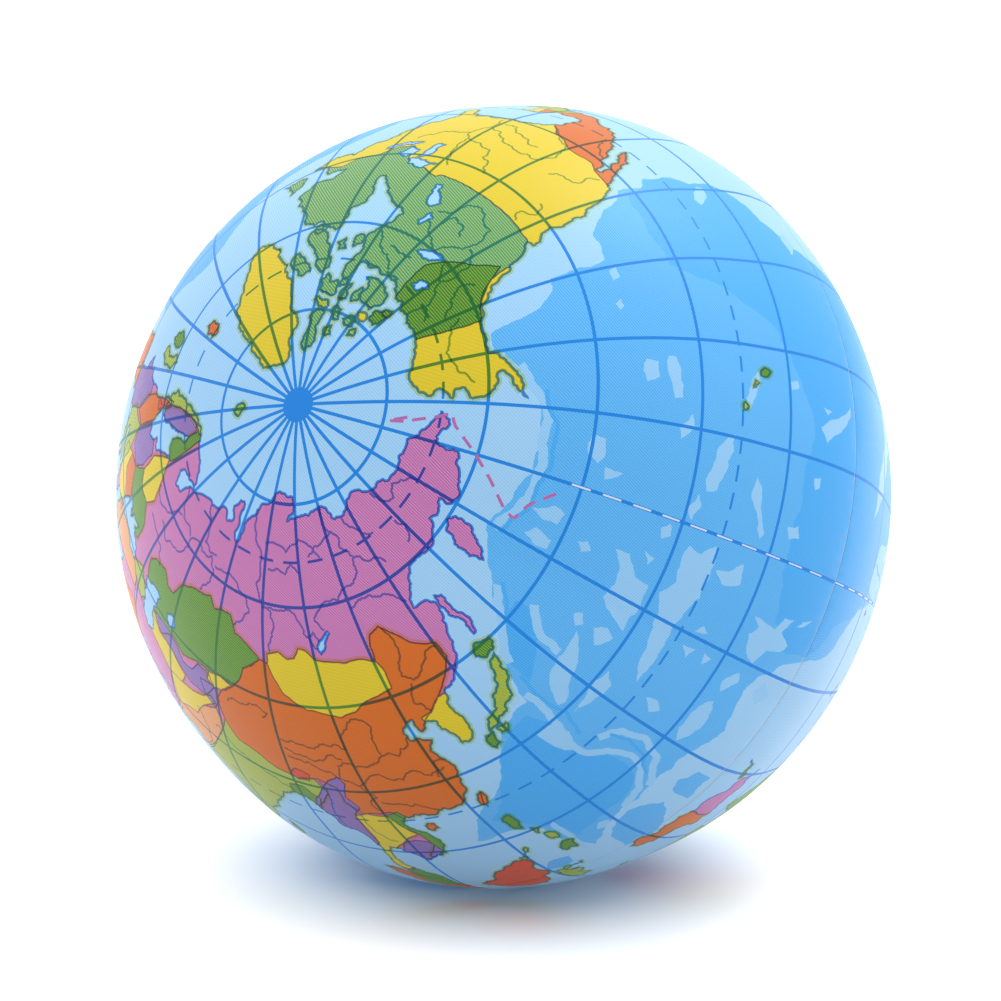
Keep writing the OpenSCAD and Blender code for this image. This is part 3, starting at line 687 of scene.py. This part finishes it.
class Map:
    """Everything that is printed on one hemisphere, as regions of its flat drawing."""

    def __init__(self, side):
        self.side = side
        self.lands = self.areas(LANDS, COAST_WANDER)
        self.countries = self.areas(COUNTRIES, BORDER_WANDER)
        self.seas = self.areas(SEAS, SEA_WANDER)
        self.lakes = self.areas([(INKS["shelf"], lake) for lake in LAKES], COAST_WANDER)
        self.ridges = strokes(self.lines(RIDGES, SEA_WANDER), RIDGE_WIDTH)
        self.trenches = strokes(self.lines(TRENCHES, SEA_WANDER), TRENCH_WIDTH)
        shores = [loop for _, loop in self.lands + self.lakes]
        self.coasts = strokes(shores, COAST_WIDTH, closed=True)
        self.borders = strokes([loop for _, loop in self.countries], BORDER_WIDTH, closed=True)
        self.rivers = strokes(self.lines(RIVERS, RIVER_WANDER), RIVER_WIDTH)
        self.grid = self.grid_lines()
        self.date_line, self.date_dashes = self.date_marks()
        self.sea_fringe = self.fringe_of_coasts()
        self.land_fringe = [loop for ink, border in self.countries if ink[2] > MUCH_YELLOW
                            for loop in (beside(border, FRINGE_WIDTH, True), border[::-1])]

    def areas(self, table, wander):
        """The table's inks and outlines that reach this side, with the outlines drawn."""
        return [(ink, drawn_loop(places, self.side, wander))
                for ink, places in table if on_this_side(places, self.side)]

    def lines(self, table, wander):
        """The table's lines that reach this side, drawn."""
        return [drawn_line(places, self.side, wander)
                for places in table if on_this_side(places, self.side)]

    def grid_lines(self):
        """The meridians, the parallels, the disc at the pole, the tropic and the polar circle."""
        from_pole = np.linspace(POLE_DISC - 0.5, 92, 31)
        # the flat drawing stretches along the parallels, the more so the further from the pole
        width = GRID_WIDTH * np.radians(from_pole) / np.sin(np.radians(from_pole))
        region = [laid(circle(POLE_DISC, 60), self.side)]
        for lon in range(0, 360, GRID_STEP):
            meridian = from_pole * np.exp(1j * math.radians(lon))
            region += stroke(laid(meridian, self.side), width)
        for colatitude in range(GRID_STEP, 90, GRID_STEP):
            region += stroke(laid(circle(colatitude), self.side), GRID_WIDTH, closed=True)
        for latitude, dashes in DASHED_CIRCLES:
            around = laid(circle(90 - latitude), self.side)
            around = np.append(around, around[0])
            length = abs(np.diff(around)).sum()
            region += strokes(dashed(around, length / dashes, CIRCLE_DASH), GRID_WIDTH * 0.8)
        return region

    def date_marks(self):
        """The date line's dashes: first where it leaves the 180 degree meridian, then along it."""
        if self.side == SOUTH:
            straight = laid(flat([(180, -0.5), (180, -45), (180, -84)], SOUTH), SOUTH)
            return [], strokes(dashed(straight, *DATE_DASHES), DATE_DASH_WIDTH)
        bend = strokes(dashed(flat(DATE_LINE, NORTH), *BEND_DASHES), DATE_LINE_WIDTH)
        straight = laid(flat([(180, lat) for lat in np.linspace(46.4, 0.5, 20)], NORTH), NORTH)
        return bend, strokes(dashed(straight, *DATE_DASHES), DATE_DASH_WIDTH)

    def fringe_of_coasts(self):
        """A band of sea beside each stretch of coast whose land carries yellow ink."""
        region = []
        for _, coast in self.lands:
            inland = beside(coast, -FRINGE_WIDTH / 3, True)
            order = np.argsort(inland.imag)
            inks = np.zeros((len(coast), 3))
            inks[order] = self.base_inks(inland[order])[0]
            out_at_sea = beside(coast, FRINGE_WIDTH, True)
            yellow = np.append(inks[:, 2] > MUCH_YELLOW, False)
            ends = np.flatnonzero(np.diff(yellow.astype(int), prepend=0))
            for start, stop in zip(ends[::2], ends[1::2]):
                region.append(np.concatenate([out_at_sea[start:stop], coast[start:stop][::-1]]))
        return [loop for loop in region if len(loop) > 4]

    def base_inks(self, spots):
        """The ink of the area that each spot is in, and whether that area is land."""
        inks = np.tile(INKS["shelf"], (len(spots), 1)).astype(float)
        for ink, loop in self.seas:
            inks[covered(spots, [loop])] = ink
        inks[covered(spots, self.ridges)] = INKS["shoal"]
        inks[covered(spots, self.trenches)] = INKS["deep"]
        land = np.zeros(len(spots), bool)
        for ink, loop in self.lands:
            here = covered(spots, [loop])
            inks[here] = ink
            land |= here
        for ink, loop in self.countries:
            inks[covered(spots, [loop]) & land] = ink
        for ink, loop in self.lakes:
            here = covered(spots, [loop]) & land
            inks[here] = ink
            land &= ~here
        return inks, land

    def inks(self, spots):
        """The cyan, magenta and yellow at each spot, and how strongly its screen shows."""
        inks, land = self.base_inks(spots)
        screen = np.where(land, 1.0, SEA_SCREEN)
        fringe = np.where(land, covered(spots, self.land_fringe), covered(spots, self.sea_fringe))
        inks[:, 2] = np.where(fringe, np.maximum(inks[:, 2], FRINGE_YELLOW), inks[:, 2])
        for ink, region, where in (
            (COAST_INK, self.coasts, True),
            (BORDER_INK, self.borders, land),
            (RIVER_INK, self.rivers, land),
            (GRID_INK, self.grid, True),
        ):
            here = covered(spots, region) & where
            inks[here] += ink
            screen[here] = 0
        for ink, region in ((DATE_LINE_INK, self.date_line), (DATE_DASH_INK, self.date_dashes)):
            inks[covered(spots, region)] = ink
        return np.column_stack([np.clip(inks, 0, 1), screen])

    def loops(self):
        """Every outline on the drawing."""
        painted = self.lands + self.countries + self.seas + self.lakes
        lines = (self.ridges + self.trenches + self.coasts + self.borders + self.rivers + self.grid
                 + self.date_line + self.date_dashes + self.sea_fringe + self.land_fringe)
        return [loop for _, loop in painted] + lines


# ----------------------------------------------------------------------- wrapping it round

# Degrees between the points that fill a skin between its outlines.
LATTICE = 2.0
# Rings of points across the rim's rounding, as shares of its width from the rim.
EDGE_RINGS = (1.0, 0.55, 0.2, 0.0)
# Rings of points on the film's inner side, in degrees from the pole.
LINING_RINGS = (RIM, 78, 60, 40, 20)


def swollen(latitude):
    """The ball's radius at these latitudes in radians, and how fast it changes with latitude."""
    reach = math.radians(SWELL_LATITUDE)
    nearness = np.clip(1 - (latitude / reach) ** 2, 0, 1)
    return RADIUS + SWELL * nearness**2, -4 * SWELL * nearness * latitude / reach**2


def wrapped(drawing, side, inset):
    """Where points of the flat drawing lie on the ball, and which way the ball faces there."""
    latitude = math.pi / 2 - np.radians(abs(drawing))
    turn = np.angle(drawing) + math.radians(PRIME_MERIDIAN)
    around = np.outer(np.cos(turn), DOWN) + np.outer(np.sin(turn), EAST)
    out = np.cos(latitude)[:, None] * around + side * np.sin(latitude)[:, None] * np.array(POLE)
    poleward = -np.sin(latitude)[:, None] * around + side * np.cos(latitude)[:, None] * np.array(POLE)
    radius, slope = swollen(latitude)
    places = np.array(CENTRE) + (radius - inset)[:, None] * out
    pressed = np.min(inset)
    resting = places[:, 2] < pressed
    facing = out - (slope / RADIUS)[:, None] * poleward
    facing[resting] = (0, 0, -1)
    places[resting, 2] = pressed
    return places, facing / np.linalg.norm(facing, axis=1)[:, None]


def lattice():
    """Points spread evenly over the drawing, so that no face of the skin is large."""
    rows = np.arange(-90, 90, LATTICE * math.sqrt(3) / 2)
    columns = np.arange(-90, 90, LATTICE)
    staggered = [columns + LATTICE / 2 * (index % 2) + 1j * row for index, row in enumerate(rows)]
    all_over = np.concatenate(staggered)
    return all_over[abs(all_over) < RIM - LATTICE / 2]


def cut_drawing(loops):
    """The drawing cut into triangles along every loop: its points, and three of them a triangle."""
    points_in = list(lattice())
    edges_in = []
    for loop in loops:
        first = len(points_in)
        count = len(loop)
        points_in += list(loop)
        near = abs(loop) < 91
        edges_in += [(first + k, first + (k + 1) % count)
                     for k in range(count) if near[k] or near[(k + 1) % count]]
    flat_points = [Vector((point.real, point.imag)) for point in points_in]
    verts, _, faces, *_ = delaunay_2d_cdt(flat_points, edges_in, [], 0, 1e-4)
    verts = np.array(verts) @ np.array([1, 1j])
    faces = np.array(faces)
    inside = abs(verts[faces].mean(axis=1)) < RIM
    used, faces = np.unique(faces[inside], return_inverse=True)
    return verts[used], faces.reshape(-1, 3)


def open_edge(faces):
    """The points along the open edge of a sheet of triangles, in the order that it runs."""
    sides = {(a, b) for face in faces.tolist() for a, b in zip(face, face[1:] + face[:1])}
    onward = dict(side for side in sides if side[::-1] not in sides)
    edge = [min(onward)]
    while len(edge) < len(onward):
        edge.append(onward[edge[-1]])
    return np.array(edge)


def skin(name, side, body, node):
    """One hemisphere's printed film, as a closed shell with a rounded rim."""
    chart = Map(side)
    to_degrees = math.degrees(EDGE_ROUND / RADIUS)
    rim_loops = [circle(RIM - share * to_degrees) for share in EDGE_RINGS]
    drawing, faces = cut_drawing(chart.loops() + rim_loops)

    centres = drawing[faces].mean(axis=1)
    order = np.argsort(centres.imag)
    inks = np.zeros((len(faces), 4))
    inks[order] = chart.inks(centres[order])

    to_rim = np.clip((RIM - abs(drawing)) / to_degrees, 0, 1)
    rounding = EDGE_ROUND * (1 - np.sqrt(1 - (1 - to_rim) ** 2))
    places, facing = wrapped(drawing, side, rounding)
    facing[to_rim < 1] = 0

    rim = open_edge(faces)
    rings = [rim]
    for from_pole in LINING_RINGS:
        ring = from_pole * drawing[rim] / abs(drawing[rim])
        rings.append(len(places) + np.arange(len(rim)))
        places = np.vstack([places, wrapped(ring, side, np.full(len(rim), FILM))[0]])
        drawing = np.append(drawing, ring)
    middle = len(places)
    places = np.vstack([places, wrapped(np.array([0j]), side, np.array([FILM]))[0]])
    drawing = np.append(drawing, 0)

    lining = []
    for outer, inner in zip(rings, rings[1:]):
        next_outer, next_inner = np.roll(outer, -1), np.roll(inner, -1)
        lining.append(np.column_stack([outer, next_inner, next_outer]))
        lining.append(np.column_stack([outer, inner, next_inner]))
    lining.append(np.column_stack([rings[-1], np.full(len(rim), middle), np.roll(rings[-1], -1)]))
    printed = len(faces)
    faces = np.vstack([faces, *lining])
    if side == SOUTH:
        faces = faces[:, ::-1]
    inks = np.vstack([inks, np.zeros((len(faces) - printed, 4))])

    mesh = bpy.data.meshes.new(name)
    mesh.from_pydata(places, [], faces)
    mesh.attributes.new("inks", "FLOAT_COLOR", "FACE").data.foreach_set("color", inks.ravel())
    corners = faces.ravel()
    scale = math.radians(1) * RADIUS / MM
    layout = np.column_stack([drawing.real, drawing.imag])[corners] * scale
    mesh.uv_layers.new(name="print").data.foreach_set("uv", layout.ravel())
    normals = np.zeros((len(corners), 3))
    normals[:printed * 3] = facing[corners[:printed * 3]]
    mesh.shade_smooth()
    mesh.normals_split_custom_set(normals)
    mesh.validate()

    piece = bpy.data.objects.new(name, mesh)
    bpy.context.scene.collection.objects.link(piece)
    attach(piece, body)
    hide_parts(node)
    return piece


def foam_core(body, node):
    """The moulded foam ball, with the bare strip of it that stands between the two films."""
    inset = FILM + BOND
    latitudes = np.radians(np.linspace(90, 0.5, 80))
    radii = swollen(latitudes)[0] - inset
    crest = RADIUS + SWELL - SEAM_DEPTH
    strip = SEAM_GAP * 0.4
    # pairs of distance from the polar axis and height above the seam
    half = list(zip(radii * np.cos(latitudes), radii * np.sin(latitudes)))
    half += [(radii[-1], strip), (crest - strip / 2, strip), (crest, strip / 2), (crest, 0)]
    profile = half[1:] + [(away, -up) for away, up in half[-2:0:-1]]

    parts = 360
    turns = 2 * math.pi * np.arange(parts) / parts
    around = np.outer(np.cos(turns), DOWN) + np.outer(np.sin(turns), EAST)
    rings = [np.array(CENTRE) + away * around + up * np.array(POLE) for away, up in profile]
    ends = [np.array(CENTRE) + side * half[0][1] * np.array(POLE) for side in (1, -1)]
    places = np.vstack([*rings, *ends])
    places[:, 2] = np.maximum(places[:, 2], inset)

    faces = []
    for ring in range(len(rings) - 1):
        for part in range(parts):
            here, beyond = ring * parts + part, ring * parts + (part + 1) % parts
            faces.append((here, here + parts, beyond + parts, beyond))
    north_end, last = len(places) - 2, (len(rings) - 1) * parts
    for part in range(parts):
        beyond = (part + 1) % parts
        faces.append((north_end, part, beyond))
        faces.append((north_end + 1, last + beyond, last + part))

    mesh = bpy.data.meshes.new("foam")
    mesh.from_pydata(places, [], faces)
    mesh.shade_smooth()
    mesh.set_sharp_from_angle(angle=math.radians(40))
    piece = bpy.data.objects.new("foam", mesh)
    bpy.context.scene.collection.objects.link(piece)
    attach(piece, body)
    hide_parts(node)
    return piece


# --------------------------------------------------------------------------------- materials

# What full cover of each ink takes out of white, in red, green and blue.
CYAN_TAKES = (0.90, 0.38, 0.03)
MAGENTA_TAKES = (0.05, 0.75, 0.45)
YELLOW_TAKES = (0.06, 0.19, 0.86)
WHITE_FILM = (0.96, 0.97, 1.0)
# Each ink's line screen: direction on the flat drawing in degrees, pitch in millimetres, depth.
CYAN_SCREEN = (60, 0.20, 0.45)
MAGENTA_SCREEN = (60, 0.18, 0.25)
YELLOW_SCREEN = (90, 0.30, 0.1)


def node(tree, kind, inputs=(), **settings):
    """Adds a shader node. An input is either a value or another node's output."""
    made = tree.nodes.new("ShaderNode" + kind)
    for name, value in settings.items():
        setattr(made, name, value)
    for name, value in dict(inputs).items():
        if isinstance(value, bpy.types.NodeSocket):
            tree.links.new(value, made.inputs[name])
        else:
            made.inputs[name].default_value = value
    return made


def calc(tree, operation, *values):
    """The result of a sum on numbers or outputs."""
    return node(tree, "Math", enumerate(values), operation=operation).outputs[0]


def noise(tree, place, scale, detail=2.0):
    """Noise between 0 and 1 whose grains are about 1/scale across."""
    inputs = {"Vector": place, "Scale": scale, "Detail": detail}
    return node(tree, "TexNoise", inputs).outputs["Fac"]


def spread(tree, value, low, high):
    """The value, which runs from 0 to 1, spread from low to high."""
    return calc(tree, "MULTIPLY_ADD", value, high - low, low)


def new_material(name):
    """A new material, with its node tree and its shader."""
    material = bpy.data.materials.new(name)
    material.use_nodes = True
    return material, material.node_tree, material.node_tree.nodes["Principled BSDF"]


def screened(tree, place, cover, screen, direction, pitch, depth, grain):
    """One ink's cover, broken up into the lines of its screen and a little uneven."""
    turn = math.radians(direction)
    across = (2 * math.pi / pitch * math.cos(turn), 2 * math.pi / pitch * math.sin(turn), 0)
    phase = node(tree, "VectorMath", {0: place, 1: across}, operation="DOT_PRODUCT")
    lines = calc(tree, "SINE", phase.outputs["Value"])
    gain = calc(tree, "MULTIPLY_ADD", lines, calc(tree, "MULTIPLY", screen, depth), grain)
    return node(tree, "Math", {0: cover, 1: gain}, operation="MULTIPLY", use_clamp=True).outputs[0]


def film_material():
    """Satin film, printed with cyan, magenta and yellow laid over each other on white."""
    material, tree, shader = new_material("printed_film")
    place = node(tree, "UVMap", uv_map="print").outputs["UV"]
    inks = node(tree, "Attribute", attribute_name="inks")
    covers = node(tree, "SeparateColor", {"Color": inks.outputs["Color"]})
    grain = spread(tree, noise(tree, place, 6.0, 4.0), 0.90, 1.10)
    colour = WHITE_FILM
    for cover, takes, pattern in (
        (covers.outputs["Red"], CYAN_TAKES, CYAN_SCREEN),
        (covers.outputs["Green"], MAGENTA_TAKES, MAGENTA_SCREEN),
        (covers.outputs["Blue"], YELLOW_TAKES, YELLOW_SCREEN),
    ):
        printed = screened(tree, place, cover, inks.outputs["Alpha"], *pattern, grain)
        taken = node(tree, "VectorMath", {0: takes, "Scale": printed}, operation="SCALE")
        kept = node(tree, "VectorMath", {0: (1, 1, 1), 1: taken.outputs["Vector"]}, operation="SUBTRACT")
        both = node(tree, "VectorMath", {0: colour, 1: kept.outputs["Vector"]}, operation="MULTIPLY")
        colour = both.outputs["Vector"]
    light = node(tree, "Gamma", {"Color": colour, "Gamma": 2.2})
    tree.links.new(light.outputs["Color"], shader.inputs["Base Color"])

    ripple = noise(tree, place, 0.8, 3.0)
    tree.links.new(spread(tree, noise(tree, place, 1.6, 5.0), 0.34, 0.50), shader.inputs["Roughness"])
    bump = node(tree, "Bump", {"Height": ripple, "Strength": 0.25, "Distance": 0.04 * MM})
    tree.links.new(bump.outputs["Normal"], shader.inputs["Normal"])
    shader.inputs["Specular IOR Level"].default_value = 0.25
    return material


def foam_material():
    """Pale moulded foam, with the fine pores of its skin."""
    material, tree, shader = new_material("pale_foam")
    place = node(tree, "TexCoord").outputs["Object"]
    cells = node(tree, "TexVoronoi", {"Vector": place, "Scale": 4000.0}).outputs["Distance"]
    patches = noise(tree, place, 400.0, 3.0)
    ramp = node(tree, "ValToRGB", {"Fac": patches})
    ramp.color_ramp.elements[0].color = (0.62, 0.60, 0.52, 1)
    ramp.color_ramp.elements[1].color = (0.80, 0.78, 0.70, 1)
    tree.links.new(ramp.outputs["Color"], shader.inputs["Base Color"])
    tree.links.new(spread(tree, cells, 0.85, 0.65), shader.inputs["Roughness"])
    bump = node(tree, "Bump", {"Height": cells, "Strength": 0.5, "Distance": 0.08 * MM})
    tree.links.new(bump.outputs["Normal"], shader.inputs["Normal"])
    return material


def floor_material(name, grey):
    """Plain matt card of this grey."""
    material, tree, shader = new_material(name)
    place = node(tree, "TexCoord").outputs["Object"]
    tone = node(tree, "ValToRGB", {"Fac": noise(tree, place, 60.0, 2.0)})
    tone.color_ramp.elements[0].color = (grey - 0.01, grey - 0.01, grey - 0.01, 1)
    tone.color_ramp.elements[1].color = (grey + 0.01, grey + 0.01, grey + 0.01, 1)
    tree.links.new(tone.outputs["Color"], shader.inputs["Base Color"])
    shader.inputs["Roughness"].default_value = 0.9
    shader.inputs["Specular IOR Level"].default_value = 0.0
    return material


# --------------------------------------------------------------------------------- the pieces

north = skin("north_print", NORTH, "north_half", "north_skin")
south = skin("south_print", SOUTH, "south_half", "south_skin")
foam = foam_core("south_half", "foam_core")

film = film_material()
for piece, material, slot in (
    (north, film, "north_film"),
    (south, film, "south_film"),
    (foam, foam_material(), "foam"),
):
    piece.data.materials.append(material)

# The squeeze flattens the ball along its polar axis. The north skin also rides on the body that
# moves, so the point it would flatten towards lies further out, to keep its edge at the seam.
# These points are only worked out here: nothing flattens the pieces, each just gets its own mesh.
KEEP = 0.6
# The point that all three would flatten towards, so that the ball stays on the floor.
FLOOR_TOUCH = -8.5 * MM
TRAVEL = SQUEEZE["range_m"][1]
still = CENTRE + FLOOR_TOUCH * POLE
moved = still + TRAVEL / (1 - KEEP) * POLE
for piece, anchor in ((north, moved), (south, still), (foam, still)):
    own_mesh(piece)

# ------------------------------------------------------------------- floor, lights and camera


def floor_sheet(name, height, grey):
    """A wide level sheet for the ball to stand on."""
    bpy.ops.mesh.primitive_plane_add(size=6, location=(0, 0, height))
    sheet = bpy.context.object
    sheet.name = name
    sheet.data.materials.append(floor_material(name, grey))
    return sheet


# The floor that shows is so bright that its own light would wash out the underside of the ball,
# so what the ball gets from below comes from a greyer sheet just under it.
floor = floor_sheet("pale_floor", 0, 0.89)
floor.visible_diffuse = False
floor.visible_shadow = False
bounce = floor_sheet("bounce_sheet", -0.2 * MM, 0.52)
bounce.visible_camera = False
bounce.visible_glossy = False
bounce.visible_shadow = False

# A white tent, dimmer on the camera's side and dimmer below.
world = bpy.data.worlds.new("studio")
world.use_nodes = True
tent = world.node_tree
way = node(tent, "TexCoord").outputs["Generated"]
towards = node(tent, "SeparateXYZ", {"Vector": way}).outputs
from_front = {"Value": towards["Y"], "From Min": -1.0, "From Max": -0.3, "To Min": 0.66, "To Max": 1.17}
from_below = {"Value": towards["Z"], "From Min": -1.0, "From Max": 0.2, "To Min": 0.6, "To Max": 1.0}
glows = [node(tent, "MapRange", ramp).outputs["Result"] for ramp in (from_front, from_below)]
glow = calc(tent, "MULTIPLY", *glows)
tent.links.new(glow, tent.nodes["Background"].inputs["Strength"])
tent.nodes["Background"].inputs["Color"].default_value = (1, 1, 1, 1)
bpy.context.scene.world = world
bpy.context.scene.view_settings.view_transform = "Standard"


def soft_light(name, direction, distance, size, power):
    """A square soft light that faces the ball from this direction."""
    light = bpy.data.lights.new(name, "AREA")
    light.size = size
    light.energy = power
    lamp = bpy.data.objects.new(name, light)
    bpy.context.scene.collection.objects.link(lamp)
    lamp.location = CENTRE + Vector(direction).normalized() * distance
    lamp.rotation_euler = (CENTRE - lamp.location).to_track_quat("-Z", "Y").to_euler()


soft_light("key", (0.4, 0.35, 0.85), 0.7, 0.35, 1.4)

# A wide light overhead that falls on the floor alone, and whitens it up to the ball's shadow.
overhead = bpy.data.objects.new("overhead", bpy.data.lights.new("overhead", "SUN"))
bpy.context.scene.collection.objects.link(overhead)
overhead.data.energy = 3.6
overhead.data.angle = math.radians(110)
lit_by_it = bpy.data.collections.new("floor_only")
lit_by_it.objects.link(floor)
overhead.light_linking.receiver_collection = lit_by_it

ELEVATION = math.radians(12)
camera = bpy.data.objects.new("camera", bpy.data.cameras.new("camera"))
bpy.context.scene.collection.objects.link(camera)
back = Vector((0, -math.cos(ELEVATION), math.sin(ELEVATION)))
camera.location = CENTRE + 10.5 * RADIUS * back
camera.rotation_euler = (-back).to_track_quat("-Z", "Y").to_euler()
camera.data.lens = 145.9
camera.data.sensor_width = 36
camera.data.shift_x = -0.003
camera.data.shift_y = -0.0061
bpy.context.scene.camera = camera
